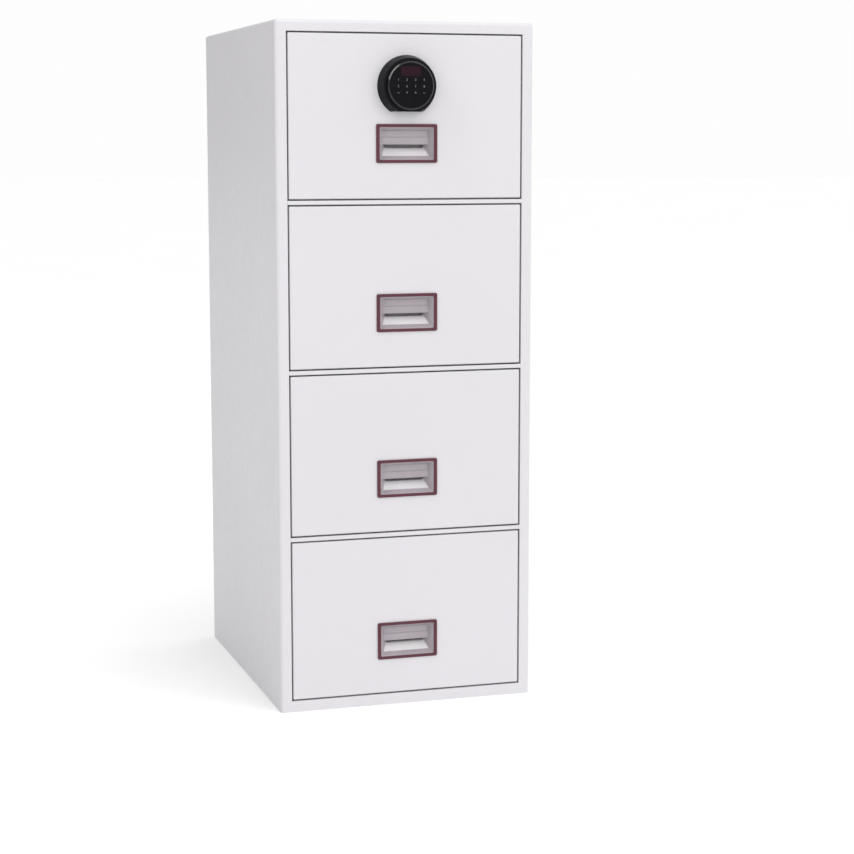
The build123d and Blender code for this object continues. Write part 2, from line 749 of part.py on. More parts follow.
def pinion():
    """Involute pinion in mesh with the rack above it."""
    base = PITCH_RADIUS * math.cos(math.radians(PRESSURE_ANGLE))
    tip = PITCH_RADIUS + PINION_ADDENDUM
    root = PITCH_RADIUS - RACK_ADDENDUM - TOOTH_RELIEF
    half_tooth = math.pi / (2 * PINION_TEETH) - BACKLASH / (2 * PITCH_RADIUS)
    steps = 2
    radii = [root] + [base + (tip - base) * step / steps for step in range(steps + 1)]
    flank = [(r, half_tooth + involute(PITCH_RADIUS) - involute(max(r, base))) for r in radii]
    outline = []
    for tooth in range(PINION_TEETH):
        middle = 2 * math.pi * tooth / PINION_TEETH
        for r, angle in flank:
            outline.append((r * math.sin(middle - angle), r * math.cos(middle - angle)))
        for r, angle in reversed(flank):
            outline.append((r * math.sin(middle + angle), r * math.cos(middle + angle)))
    return Pos(0, LOCK_Z) * polygon(*outline)


def lock_spindle():
    """Shaft from the dial into the case, with its pinion."""
    start = dial_front() + DIAL_DEPTH / 2
    end = FRONT + FACE_SHEET + CASE_DEPTH
    half = BOLT_WIDTH / 2 + BOLT_CLEARANCE
    shaft = disc(SPINDLE_RADIUS, start, end, 0, LOCK_Z)
    return shaft + along_y(pinion(), STUD_Y - half, STUD_Y + half)


def lock_case():
    """Steel case behind the face, which carries the spindle and guides the bolt."""
    front = FRONT + FACE_SHEET
    back = front + CASE_DEPTH
    half = CASE_WIDTH / 2
    rise = CASE_HEIGHT / 2
    case = across(half, front, back, LOCK_Z - rise, LOCK_Z + rise)
    case -= across(
        half - CASE_SHEET,
        front + CASE_SHEET,
        back - CASE_SHEET,
        LOCK_Z - rise + CASE_SHEET,
        LOCK_Z + rise - CASE_SHEET,
    )
    case -= disc(SPINDLE_RADIUS + SPINDLE_CLEARANCE, FRONT, back + 1, 0, LOCK_Z)
    bolt_low = BOLT_BOTTOM - BOLT_CLEARANCE
    return case - bolt_window(0, half + 1, bolt_low, BOLT_BOTTOM + BOLT_HEIGHT + BOLT_CLEARANCE)


def rack_outline():
    """Bolt seen from the front: rack teeth over the pinion and a wedge at the far end."""
    slope = math.tan(math.radians(PRESSURE_ANGLE))
    step = math.pi * MODULE
    tip_z = RACK_PITCH_Z - RACK_ADDENDUM
    root_z = BOLT_BOTTOM
    half_pitch = step / 4 - BACKLASH / 2
    half_tip = half_pitch - slope * RACK_ADDENDUM
    half_root = half_pitch + slope * (root_z - RACK_PITCH_Z)
    first = -step * RACK_TEETH / 2
    outline = [(first - step / 2, root_z)]
    for tooth in range(RACK_TEETH):
        middle = first + step * (tooth + 0.5) - step / 2 * ((RACK_TEETH + 1) % 2)
        middle += step / 2
        outline += [(middle - half_root, root_z), (middle - half_tip, tip_z)]
        outline += [(middle + half_tip, tip_z), (middle + half_root, root_z)]
    top = BOLT_BOTTOM + BOLT_HEIGHT
    outline += [(BOLT_TIP, root_z), (BOLT_TIP, WEDGE_Z)]
    outline += [(BOLT_TIP - (top - WEDGE_Z), top), (first - step / 2, top)]
    return polygon(*outline)


def lock_bolt():
    """Rack and bolt in one flat bar."""
    return along_y(rack_outline(), STUD_Y - BOLT_WIDTH / 2, STUD_Y + BOLT_WIDTH / 2)


def lock_batteries():
    """Two block batteries in the housing, one above the hub and one below it."""
    back = FRONT - BATTERY_GAP
    batteries = []
    for side in (1, -1):
        z = LOCK_Z + side * (LOCK_BOSS + BATTERY_GAP + BATTERY_WIDTH / 2)
        rise = BATTERY_WIDTH / 2
        battery = across(BATTERY_LENGTH / 2, back - BATTERY_THICKNESS, back, z - rise, z + rise)
        batteries.append(chamfer(battery.edges().filter_by(Axis.X), BATTERY_CORNER_CUT))
    return batteries


# Gang lock


def tab_underside(x):
    """Height of the gang bar's sloping tab at rest, where the bolt's wedge pushes it up."""
    return WEDGE_Z + BOLT_TIP - x + WEDGE_CLEARANCE * math.sqrt(2)


def gang_bar_ends():
    """Lower and upper end of the gang bar."""
    return face_centre(DRAWERS) - BAR_END, WEDGE_Z + TAB_TOP + BAR_END


def gang_bar():
    """Upright bar in the right column of the frame, with the tab that the bolt lifts."""
    low, high = gang_bar_ends()
    outer = BAR_INNER + BAR_THICKNESS
    bar = block(BAR_INNER, outer, STUD_Y - BAR_WIDTH / 2, STUD_Y + BAR_WIDTH / 2, low, high)
    start = FACE_WIDTH / 2 + STUD_CLEARANCE
    tab = [
        (start, tab_underside(start)),
        (outer, tab_underside(outer)),
        (outer, WEDGE_Z + TAB_TOP),
        (start, WEDGE_Z + TAB_TOP),
    ]
    bar += along_y(polygon(*tab), STUD_Y - BOLT_WIDTH / 2, STUD_Y + BOLT_WIDTH / 2)
    window_floor = BOLT_BOTTOM - LIFT - BOLT_CLEARANCE
    window = [
        (BAR_INNER - 1, tab_underside(BAR_INNER - 1)),
        (outer + 1, tab_underside(outer + 1)),
        (outer + 1, window_floor),
        (BAR_INNER - 1, window_floor),
    ]
    half = BOLT_WIDTH / 2 + BOLT_CLEARANCE
    return bar - along_y(polygon(*window), STUD_Y - half, STUD_Y + half)


def gang_bar_studs():
    """A square stud welded to the bar for each drawer, in the slot of the drawer's face."""
    start = FACE_WIDTH / 2 - FACE_SHEET - STUD_REACH
    studs = []
    for number in range(1, DRAWERS + 1):
        low = face_centre(number) - STUD_HALF
        bar = block(start, BAR_INNER, STUD_Y - STUD_HALF, STUD_Y + STUD_HALF, low, low + 2 * STUD_HALF)
        studs.append(bar)
    return studs


def gang_bar_guides():
    """Guides that hold the gang bar to the frame; the lowest has a floor that the bar rests on."""
    low, high = gang_bar_ends()
    x0 = OPENING_HALF + CASING_SHEET
    slot_x = BAR_INNER + BAR_THICKNESS + GUIDE_CLEARANCE
    slot_half = BAR_WIDTH / 2 + GUIDE_CLEARANCE
    y0 = FRONT + CASING_SHEET
    y1 = STUD_Y + slot_half + GUIDE_WALL
    pieces = []
    middle = (face_centre(2) + face_centre(3)) / 2
    for foot, rest in ((low - GUIDE_FLOOR, GUIDE_FLOOR), (middle, -1), (high - LIFT - GUIDE_HEIGHT, -1)):
        guide = block(x0, slot_x + GUIDE_WALL, y0, y1, foot, foot + GUIDE_HEIGHT)
        guide -= block(
            x0 - 1, slot_x, STUD_Y - slot_half, STUD_Y + slot_half, foot + rest, foot + GUIDE_HEIGHT + 1
        )
        pieces.append(guide)
    return pieces


def write(name, solids):
    """Writes one node, a solid or a group of separate solids."""
    group = solids if isinstance(solids, list) else [solids]
    export_step(Compound(children=group) if len(group) > 1 else solids, f"parts/{name}.step")


def main():
    os.makedirs("parts", exist_ok=True)
    write("outer_casing", outer_casing())
    write("front_dividers", front_dividers())
    write("rebate_frame", rebate_frame())
    write("back_panel", back_panel())
    write("base_pan", base_pan())
    write("insulation_panels", insulation_panels())
    write("compartment_liners", compartment_liners())
    write("fire_seals", fire_seals())
    write("cabinet_slide_members", cabinet_slide_members())
    write("gang_bar_guides", gang_bar_guides())
    write("gang_bar", gang_bar())
    write("gang_bar_studs", gang_bar_studs())
    for number in range(1, DRAWERS + 1):
        write(f"slide_middle_members_{number}", slide_middle_members(number))
        write(f"drawer_face_{number}", drawer_face(number))
        write(f"drawer_insulation_{number}", drawer_insulation(number))
        write(f"drawer_head_shell_{number}", drawer_head_shell(number))
        write(f"drawer_tray_{number}", drawer_tray(number))
        write(f"file_rails_{number}", file_rails(number))
        write(f"drawer_slide_members_{number}", drawer_slide_members(number))
        write(f"handle_tub_{number}", handle_tub(number))
        write(f"handle_trim_{number}", handle_trim(number))
        write(f"label_card_{number}", label_card(number))
    write("lock_escutcheon", lock_escutcheon())
    write("lock_dial", lock_dial())
    write("touch_panel", touch_panel())
    write("fingerprint_sensor", fingerprint_sensor())
    write("lock_spindle", lock_spindle())
    write("lock_case", lock_case())
    write("lock_bolt", lock_bolt())
    write("lock_batteries", lock_batteries())


main()
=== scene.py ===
"""Finishes, handles, lock and fasteners of a fireproof filing cabinet, laid out as a Blender add-on."""

import math

import bmesh
import bpy
from bpy.props import FloatProperty, FloatVectorProperty, PointerProperty
from bpy.types import Operator, Panel, PropertyGroup
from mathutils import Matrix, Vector


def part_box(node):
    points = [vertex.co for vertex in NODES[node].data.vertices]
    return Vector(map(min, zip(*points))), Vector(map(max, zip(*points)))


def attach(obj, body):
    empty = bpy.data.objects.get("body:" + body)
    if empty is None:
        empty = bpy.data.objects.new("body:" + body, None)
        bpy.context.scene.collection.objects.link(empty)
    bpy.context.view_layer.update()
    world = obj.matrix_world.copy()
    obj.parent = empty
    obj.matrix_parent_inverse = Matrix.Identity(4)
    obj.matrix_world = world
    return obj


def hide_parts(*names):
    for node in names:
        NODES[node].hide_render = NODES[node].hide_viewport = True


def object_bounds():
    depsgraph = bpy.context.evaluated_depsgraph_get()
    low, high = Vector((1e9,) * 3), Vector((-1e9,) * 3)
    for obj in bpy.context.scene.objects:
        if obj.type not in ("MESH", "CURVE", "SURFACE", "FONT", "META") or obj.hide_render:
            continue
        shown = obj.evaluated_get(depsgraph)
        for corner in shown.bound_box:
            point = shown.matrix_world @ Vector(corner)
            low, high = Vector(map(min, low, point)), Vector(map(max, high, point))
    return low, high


bl_info = {
    "name": "Fireproof filing cabinet",
    "version": (1, 0, 0),
    "blender": (4, 5, 0),
    "location": "3D View > Sidebar > Cabinet",
    "description": "Finishes, handles, lock, fasteners and studio of a fireproof filing cabinet",
    "category": "Object",
}

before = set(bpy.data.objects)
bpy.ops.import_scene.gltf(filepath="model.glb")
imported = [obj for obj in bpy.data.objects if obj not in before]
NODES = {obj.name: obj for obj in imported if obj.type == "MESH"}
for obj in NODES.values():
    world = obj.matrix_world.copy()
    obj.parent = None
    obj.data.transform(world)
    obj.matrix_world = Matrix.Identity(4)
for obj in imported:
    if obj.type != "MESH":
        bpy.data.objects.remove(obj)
CAD_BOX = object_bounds()
DRAWERS = (1, 2, 3, 4)
MM = 0.001
QUARTER = math.pi / 2

# Edges that turn by less than this are shaded softly and stay unrounded
SOFT_ANGLE = math.radians(32)

# The same for the rounding of the handle's rim and of the lock's housing
RIM_ANGLE = math.radians(50)
HOUSING_ANGLE = math.radians(40)

# Faces that turn by less than this lie in one plane
FLAT_ANGLE = math.radians(0.1)

# A face looks along an axis when its normal has at least this much of it
FACING = 0.9

# Points nearer than this lie together
CLOSE = 0.01 * MM

# Sides of the lock's round pieces, of the hollows in the back panel, and of screws and rivets
LOCK_SIDES = 160
SINK_SIDES = 32
HEAD_SIDES = 24

# Screws down each side of the back panel
SIDE_SCREWS = 7

# Rivets down each side of a tray, and their places as shares of the slide's length
TRAY_RIVETS = 4
FIRST_RIVET = 0.08
RIVET_STEP = 0.28


def middle_of(node):
    """Centre of a CAD node."""
    low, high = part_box(node)
    return (low + high) / 2


FACE_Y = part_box("drawer_face_2")[0].y
HANDLE_HEIGHTS = {number: middle_of(f"handle_trim_{number}").z for number in DRAWERS}
RIM_LOW, RIM_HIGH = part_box("handle_trim_1")
TUB_LOW, TUB_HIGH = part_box("handle_tub_1")
LOCK_LOW, LOCK_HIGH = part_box("lock_escutcheon")
DIAL_LOW, DIAL_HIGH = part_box("lock_dial")
LOCK_CENTRE = middle_of("lock_dial")


# Sizes and colours that a user would change


def length(name, description, default):
    """A length in metres, given in millimetres."""
    return FloatProperty(name=name, description=description, default=default * MM, unit="LENGTH", precision=5)


def colour(name, description, default):
    """A linear colour."""
    return FloatVectorProperty(
        name=name, description=description, default=default, size=3, subtype="COLOR", min=0, max=1
    )


def brightness(name, description, default):
    """How strong the even light is."""
    return FloatProperty(name=name, description=description, default=default, min=0)


def watts(name, description, default):
    """Power of a light in watts."""
    return FloatProperty(name=name, description=description, default=default, min=0, unit="POWER")


class CabinetColours(PropertyGroup):
    """Linear colours of the finishes"""

    enamel: colour("Enamel", "Baked enamel of the casing and the drawer faces", (0.604, 0.592, 0.614))
    inside: colour("Inside", "Enamel of the trays and the liners", (0.50, 0.51, 0.53))
    filling: colour("Filling", "Cast insulation", (0.66, 0.62, 0.55))
    zinc: colour("Zinc", "Plated slides and rails", (0.47, 0.48, 0.51))
    seal: colour("Seal", "Strip that swells in a fire", (0.035, 0.034, 0.037))
    nylon: colour("Nylon", "Guides of the locking bar", (0.74, 0.72, 0.66))
    handle: colour("Handle", "Moulded tub of the handles", (0.34, 0.305, 0.33))
    # Painted light: this paler colour on the cup's floor stands in for the light that falls on it from above
    cup_floor_light: colour("Cup floor", "Pale sloping floor of the handles", (0.62, 0.60, 0.615))
    rim: colour("Rim", "Dark rim round the handles", (0.088, 0.022, 0.036))
    card: colour("Card", "Blank label card", (0.37, 0.335, 0.36))
    housing: colour("Housing", "Lock housing", (0.0045, 0.0038, 0.0052))
    dial: colour("Dial", "Turning dial", (0.0065, 0.0055, 0.0075))
    glass: colour("Glass", "Touch panel", (0.004, 0.0035, 0.005))
    marks: colour("Marks", "Numbers on the touch panel", (0.17, 0.165, 0.18))
    window: colour("Window", "Smoked window of the finger sensor", (0.02, 0.006, 0.011))
    sleeve: colour("Sleeve", "Sleeve of the batteries", (0.05, 0.05, 0.055))


class HandleSizes(PropertyGroup):
    """Sizes of a handle that aren't taken from the CAD model"""

    rim_side: length("Rim side", "Width of the rim at its left and right", 7)
    rim_end: length("Rim end", "Width of the rim at its top and bottom", 6)
    rim_corner: length("Rim corner", "Rounding of the rim's outer corners", 3.5)
    rim_edge: length("Rim edge", "Rounding of the rim's front", 1.2)
    flange: length("Flange", "How far the tub's flange stands on the face", 1.2)
    funnel_depth: length("Funnel depth", "Depth of the bevelled mouth", 8)
    funnel_draft: length("Funnel draft", "How far the mouth narrows at each side", 7)
    funnel_rise_draft: length("Funnel rise draft", "How far the mouth narrows at its top and bottom", 6)
    ramp_depth: length("Ramp depth", "Depth over which the cup's floor climbs and its ends draw in", 14)
    cup_draft: length("Cup draft", "How far the cup narrows at each end", 9)
    floor_rise: length("Floor rise", "How far the cup's floor climbs", 18)
    wall: length("Wall", "Wall of the tub", 2)
    tub_edge: length("Tub edge", "Rounding inside the tub", 2.8)
    pull_depth: length("Pull depth", "From the drawer's face back to the pull", 11)
    pull_height: length("Pull height", "From the throat's top to the underside of the pull", 28)
    pull_sheet: length("Pull sheet", "Thickness of the pull", 2.5)
    lip_height: length("Lip height", "Height of the thicker band along the pull", 14)
    lip_proud: length("Lip proud", "How far that band stands out", 1.4)
    lip_grip: length("Lip grip", "Depth of the ledge that the fingers hold", 6.5)
    lip_edge: length("Lip edge", "Rounding of the pull's edges", 0.7)
    card_corner: length("Card corner", "Rounding of the card's corners", 1.5)


class LockSizes(PropertyGroup):
    """Sizes of the lock that aren't taken from the CAD model"""

    ring: length("Ring", "Width of the raised ring round the panel", 3.5)
    ring_edge: length("Ring edge", "Chamfer of the ring's outer edge", 2.6)
    ring_lip: length("Ring lip", "Rounding of the ring's inner edge", 0.6)
    housing_edge: length("Housing edge", "Rounding of the housing's front", 2.2)
    well: length("Well", "Depth of the dial's well", 2)
    well_gap: length("Well gap", "Gap round the dial in its well", 0.4)
    flat_wall: length("Flat wall", "Wall between the well and the flat underside", 2)
    front_wall: length("Front wall", "Width of the housing's front round the well", 6)
    panel: length("Panel", "Thickness of the touch panel", 1.2)
    digit: length("Digit", "Height of the numbers", 4.6)
    column: length("Column", "Distance between the numbers' columns", 17.4)
    row: length("Row", "Distance between the numbers' rows", 12.6)
    first_row: length("First row", "Height of the first row above the dial's middle", 11.2)
    ink: length("Ink", "Thickness of the printed numbers", 0.05)


class FastenerSizes(PropertyGroup):
    """Sizes and places of the screws and rivets"""

    screw_head: length("Screw head", "Radius of a pan head", 4.2)
    screw_rise: length("Screw rise", "Height of a pan head", 2.4)
    screw_edge: length("Screw edge", "Rounding of a pan head", 1.44)
    cross: length("Cross", "Half length of the cross in a head", 2.3)
    cross_slot: length("Cross slot", "Half width of the cross's slots", 0.55)
    cross_depth: length("Cross depth", "Depth of the cross", 0.7)
    head_seat: length("Head seat", "How far a head reaches into the tray's sheet", 0.2)
    sunk_head: length("Sunk head", "Radius of a sunk head in the back panel", 4.6)
    sunk_depth: length("Sunk depth", "Depth of the hollow round a sunk head", 1)
    sunk_gap: length("Sunk gap", "Gap between a sunk head and the rim of its hollow", 0.9)
    sunk_below: length("Sunk below", "How far a sunk head stays below the panel's face", 0.1)
    sunk_edge: length("Sunk edge", "Rounding of a sunk head", 0.3)
    screw_inset: length("Screw inset", "From the edge of the back panel to its screws", 12)
    seam: length("Seam", "Rounding of the back panel's edge at its seam", 0.7)
    rivet_head: length("Rivet head", "Radius of a rivet's head", 3.6)
    rivet_rise: length("Rivet rise", "Height of a rivet's head", 1.3)
    tray_sheet: length("Tray sheet", "Thickness of the trays' sheet", 1)
    tray_screw_inset: length("Tray screw inset", "From the tray's sides and floor to its screws", 42)
    tray_screw_drop: length("Tray screw drop", "From the tray's top to its upper screws", 67.2)


class StageSettings(PropertyGroup):
    """Camera, floor, backdrop and lights"""

    camera: FloatVectorProperty(
        name="Camera",
        description="Where the camera stands",
        default=(-1.17171, -4.22691, 1.13597),
        subtype="TRANSLATION",
        unit="LENGTH",
    )
    yaw: FloatProperty(
        name="Yaw", description="Turn of the camera about the upright", default=-0.3025, unit="ROTATION"
    )
    pitch: FloatProperty(
        name="Pitch", description="Tilt of the camera below the horizon", default=0.1381, unit="ROTATION"
    )
    lens: FloatProperty(name="Lens", description="Focal length in millimetres", default=85.83)
    floor: colour("Floor", "Pale studio floor", (0.98, 0.98, 0.98))
    backdrop: colour("Backdrop", "What the camera sees behind the floor", (0.985, 0.985, 0.985))
    sky: brightness("Sky", "Strength of the even light all round", 0.70)
    lean: brightness("Lean", "How much stronger that light is from the front right and above", 0.80)
    lean_from: FloatVectorProperty(
        name="Lean from",
        description="Where the stronger light comes from",
        default=(0.6, -0.75, 0.78),
        subtype="DIRECTION",
    )
    overhead: watts("Overhead", "Power of the overhead light", 15)
    side: watts("Side", "Power of the light at the front right", 6)
    edge: watts("Edge", "Power of the narrow light at the upper left", 26)


# Modelling


def only(piece):
    """Selects one piece."""
    bpy.ops.object.select_all(action="DESELECT")
    piece.select_set(True)
    bpy.context.view_layer.objects.active = piece


def started(name):
    """Names the primitive that was just added and puts its place into its mesh."""
    piece = bpy.context.object
    piece.name = piece.data.name = name
    bpy.ops.object.transform_apply(location=True, rotation=True, scale=True)
    return piece


def blank(name, low, high):
    """A block between two corners, to be shaped further."""
    low, high = Vector(low), Vector(high)
    bpy.ops.object.select_all(action="DESELECT")
    bpy.ops.mesh.primitive_cube_add(size=1, location=(low + high) / 2, scale=high - low)
    return started(name)


def plate(name, centre, half_width, half_height):
    """A flat rectangle that faces the front."""
    bpy.ops.object.select_all(action="DESELECT")
    bpy.ops.mesh.primitive_plane_add(size=2, location=centre, rotation=(QUARTER, 0, 0))
    bpy.context.object.scale = (half_width, half_height, 1)
    return started(name)


def turned(name, centre, back, front, back_radius, front_radius, sides):
    """A round blank along Y, whose radius may change from back to front."""
    bpy.ops.object.select_all(action="DESELECT")
    bpy.ops.mesh.primitive_cone_add(
        vertices=sides,
        radius1=back_radius,
        radius2=front_radius,
        depth=back - front,
        location=(centre.x, (back + front) / 2, centre.z),
        rotation=(QUARTER, 0, 0),
    )
    return started(name)


def edit(piece, kind="FACE"):
    """Opens a piece for editing by its faces, edges or points."""
    only(piece)
    bpy.ops.object.mode_set(mode="EDIT")
    bpy.ops.mesh.select_mode(type=kind)


def close():
    """Ends the editing."""
    bpy.ops.object.mode_set(mode="OBJECT")


def pick(piece, test, kind="faces"):
    """Selects the faces or edges that pass a test, and nothing else."""
    bpy.ops.mesh.select_all(action="DESELECT")
    mesh = bmesh.from_edit_mesh(piece.data)
    for item in getattr(mesh, kind):
        if test(item):
            item.select_set(True)
    mesh.select_flush_mode()
    bmesh.update_edit_mesh(piece.data)


def middle(item):
    """Middle of a face or an edge."""
    return sum((vertex.co for vertex in item.verts), Vector()) / len(item.verts)


def extrude(y=0):
    """Pulls new faces out of the selected ones, towards the back."""
    bpy.ops.mesh.extrude_region_move(TRANSFORM_OT_translate={"value": (0, y, 0)})


def resize(factors, centre):
    """Scales what is selected about a point."""
    bpy.ops.transform.resize(value=factors, center_override=centre)


def border_inside(half_width, half_height, inner, centre):
    """Turns a rectangle into a border round a smaller one, which stays selected."""
    thin = 0.5 * MM
    bpy.ops.mesh.select_all(action="SELECT")
    bpy.ops.mesh.inset(thickness=thin)
    resize((inner[0] / (half_width - thin), 1, inner[1] / (half_height - thin)), centre)


def modified(piece, kind, **settings):
    """Adds a modifier and applies it."""
    only(piece)
    modifier = piece.modifiers.new(kind, kind)
    for name, value in settings.items():
        setattr(modifier, name, value)
    bpy.ops.object.modifier_apply(modifier=modifier.name)


def welded(piece):
    """Closes the seams between points that lie together, and unites faces that lie in one plane."""
    edit(piece, "VERT")
    bpy.ops.mesh.select_all(action="SELECT")
    bpy.ops.mesh.remove_doubles(threshold=CLOSE)
    bpy.ops.mesh.beautify_fill()
    bpy.ops.mesh.dissolve_limited(angle_limit=FLAT_ANGLE)
    close()


def rounded(piece, width, segments, angle=SOFT_ANGLE):
    """Rounds a piece's hard edges."""
    modified(piece, "BEVEL", width=width, segments=segments, limit_method="ANGLE", angle_limit=angle)


def smooth(piece):
    """Shades a piece softly, apart from its hard edges, and keeps its flat faces flat."""
    only(piece)
    bpy.ops.object.shade_smooth_by_angle(angle=SOFT_ANGLE)
    modified(piece, "WEIGHTED_NORMAL", keep_sharp=True, weight=90)


def shaped_by(piece, tool, operation):
    """Joins a tool's shape to a piece, or cuts it out, and removes the tool."""
    modified(piece, "BOOLEAN", object=tool, operation=operation, solver="EXACT")
    bpy.data.objects.remove(tool)


def placed(piece, name, place, turn=(0, 0, 0)):
    """A copy with its own mesh, turned and moved."""
    only(piece)
    bpy.ops.object.duplicate()
    copy = bpy.context.object
    copy.rotation_euler = turn
    copy.location = place
    return started(name)


def joined(name, pieces):
    """Several meshes as one piece."""
    bpy.ops.object.select_all(action="DESELECT")
    for piece in pieces:
        piece.select_set(True)
    bpy.context.view_layer.objects.active = pieces[0]
    bpy.ops.object.join()
    return started(name)


def fitted(piece, body, slot, finish, *replaced):
    """Gives a finished piece its material and its body, and hides the CAD nodes that it stands for."""
    piece.data.materials.clear()
    piece.data.materials.append(finish)
    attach(piece, body)
    if replaced:
        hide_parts(*replaced)


def coat(finish, *names):
    """Puts a finish on CAD nodes."""
    for name in names:
        for slot in NODES[name].material_slots:
            slot.material = finish


# Finishes


class Finish:
    """A material whose patterns lie on the piece's own coordinates, in metres."""

    def __init__(self, name, colour, **numbers):
        self.material = bpy.data.materials.new(name)
        self.material.use_nodes = True
        self.tree = self.material.node_tree
        self.shader = self.tree.nodes["Principled BSDF"]
        self.colour = (*colour, 1)
        self.shader.inputs["Base Color"].default_value = self.colour
        for socket, value in numbers.items():
            self.shader.inputs[socket.replace("_", " ")].default_value = value
        self.base = self.normal = None

    def join(self, source, node, socket):
        """Links a socket to another."""
        self.tree.links.new(source, node.inputs[socket])

    def place(self, stretch):
        """The piece's own coordinates, stretched."""
        place = self.tree.nodes.new("ShaderNodeTexCoord")
        mapping = self.tree.nodes.new("ShaderNodeMapping")
        mapping.inputs["Scale"].default_value = stretch
        self.join(place.outputs["Object"], mapping, "Vector")
        return mapping.outputs[0]

    def noise(self, scale, detail, stretch=(1, 1, 1)):
        """Cloudy pattern with a number of features to a metre."""
        texture = self.tree.nodes.new("ShaderNodeTexNoise")
        texture.inputs["Scale"].default_value = scale
        texture.inputs["Detail"].default_value = detail
        self.join(self.place(stretch), texture, "Vector")
        return texture.outputs[0]

    def cells(self, scale):
        """Pattern of cells with a number of cells to a metre."""
        texture = self.tree.nodes.new("ShaderNodeTexVoronoi")
        texture.inputs["Scale"].default_value = scale
        self.join(self.place((1, 1, 1)), texture, "Vector")
        return texture.outputs[0]

    def between(self, source, low, high, start=0.3, end=0.7):
        """A pattern's range turned into another range."""
        changed = self.tree.nodes.new("ShaderNodeMapRange")
        values = {"From Min": start, "From Max": end, "To Min": low, "To Max": high}
        for socket, value in values.items():
            changed.inputs[socket].default_value = value
        self.join(source, changed, "Value")
        return changed.outputs[0]

    def attribute(self, name):
        """A number that the piece's own points hold."""
        reader = self.tree.nodes.new("ShaderNodeAttribute")
        reader.attribute_name = name
        return reader.outputs["Fac"]

    def mixed(self, factor, first, second):
        """Blends two colours, each given as a value or a socket, into the base colour."""
        mix = self.tree.nodes.new("ShaderNodeMix")
        mix.data_type = "RGBA"
        ends = [socket for socket in mix.inputs if socket.type == "RGBA"]
        for socket, end in zip(ends, (first, second)):
            if isinstance(end, tuple):
                socket.default_value = end
            else:
                self.tree.links.new(end, socket)
        self.join(factor, mix, "Factor")
        self.base = [socket for socket in mix.outputs if socket.type == "RGBA"][0]
        self.join(self.base, self.shader, "Base Color")

    def scaled(self, amount):
        """The colour times an amount."""
        return tuple(min(1, part * amount) for part in self.colour[:3]) + (1,)

    def shade(self, source, darkest, lightest=1.0):
        """Varies the colour's strength with a pattern."""
        self.mixed(self.between(source, 0, 1), self.scaled(darkest), self.scaled(lightest))

    def turn_to(self, source, colour):
        """Blends the varied colour into another one."""
        self.mixed(source, self.base, (*colour, 1))

    def rough(self, source, low, high):
        """Varies the roughness with a pattern."""
        self.join(self.between(source, low, high), self.shader, "Roughness")

    def relief(self, source, depth, strength):
        """Adds a raised pattern, a depth in metres."""
        bump = self.tree.nodes.new("ShaderNodeBump")
        bump.inputs["Distance"].default_value = depth
        bump.inputs["Strength"].default_value = strength
        self.join(source, bump, "Height")
        if self.normal:
            self.join(self.normal, bump, "Normal")
        self.normal = bump.outputs[0]
        self.join(self.normal, self.shader, "Normal")


def baked_enamel(name, colour, darkest=0.975):
    """Satin powder coat with a faint orange peel."""
    finish = Finish(name, colour, Roughness=0.42, Specular_IOR_Level=0.42)
    finish.shade(finish.noise(2.3, 3), darkest)
    finish.rough(finish.noise(55, 4), 0.36, 0.48)
    finish.relief(finish.noise(330, 2), 0.00022, 0.35)
    finish.relief(finish.noise(1500, 2), 0.00004, 0.3)
    return finish.material


def cast_filling(name, colour):
    """Cast gypsum with pores and pale grains."""
    finish = Finish(name, colour, Roughness=0.92, Specular_IOR_Level=0.2)
    finish.shade(finish.noise(38, 6), 0.8)
    finish.relief(finish.noise(210, 6), 0.0009, 0.7)
    pores = finish.between(finish.cells(130), 0, 1, 0.08, 0.22)
    finish.relief(pores, 0.0012, 0.6)
    return finish.material


def zinc_plate(name, colour):
    """Bright zinc with drawing lines along the strip."""
    finish = Finish(name, colour, Metallic=1.0, Roughness=0.36)
    finish.shade(finish.noise(60, 5, (1, 0.06, 1)), 0.72, 1.12)
    finish.rough(finish.noise(90, 4, (1, 0.1, 1)), 0.24, 0.48)
    finish.relief(finish.noise(900, 2, (1, 0.02, 1)), 0.00005, 0.5)
    return finish.material


def seal_strip(name, colour):
    """Granular strip."""
    finish = Finish(name, colour, Roughness=0.85)
    finish.shade(finish.noise(420, 5), 0.6, 1.3)
    finish.relief(finish.noise(800, 4), 0.0004, 0.7)
    return finish.material


def moulding(name, colour, low, high, darkest=0.93, grain=1900, gloss=0.5, pale=None):
    """Moulded plastic with a fine spark-eroded grain, and a paler colour where the piece is marked pale, which
    is painted light from above.
    """
    finish = Finish(name, colour, Roughness=(low + high) / 2, Specular_IOR_Level=gloss)
    finish.shade(finish.noise(26, 4), darkest, 1.03)
    # Painted light: the colour turns paler where the piece is marked pale, as if lit from above
    if pale:
        finish.turn_to(finish.attribute("pale"), pale)
    finish.rough(finish.noise(140, 4), low, high)
    finish.relief(finish.noise(grain, 3), 0.00004, 0.55)
    return finish.material


def card_stock(name, colour):
    """Plain card with short fibres."""
    finish = Finish(name, colour, Roughness=0.75, Specular_IOR_Level=0.25)
    finish.shade(finish.noise(700, 5, (1, 1, 0.6)), 0.95, 1.02)
    finish.relief(finish.noise(1800, 4), 0.00002, 0.5)
    return finish.material


def polished(name, colour, low=0.07, high=0.16):
    """Polished plastic or glass, with faint smudges from fingers."""
    finish = Finish(name, colour, Roughness=low, Specular_IOR_Level=0.07)
    finish.shade(finish.noise(70, 3), 0.85, 1.1)
    finish.rough(finish.noise(48, 5), low, high)
    return finish.material


def printed_marks(name, colour):
    """Pale print, a little uneven."""
    finish = Finish(name, colour, Roughness=0.55)
    finish.shade(finish.noise(900, 3), 0.8, 1.05)
    return finish.material


FINISHES = {}


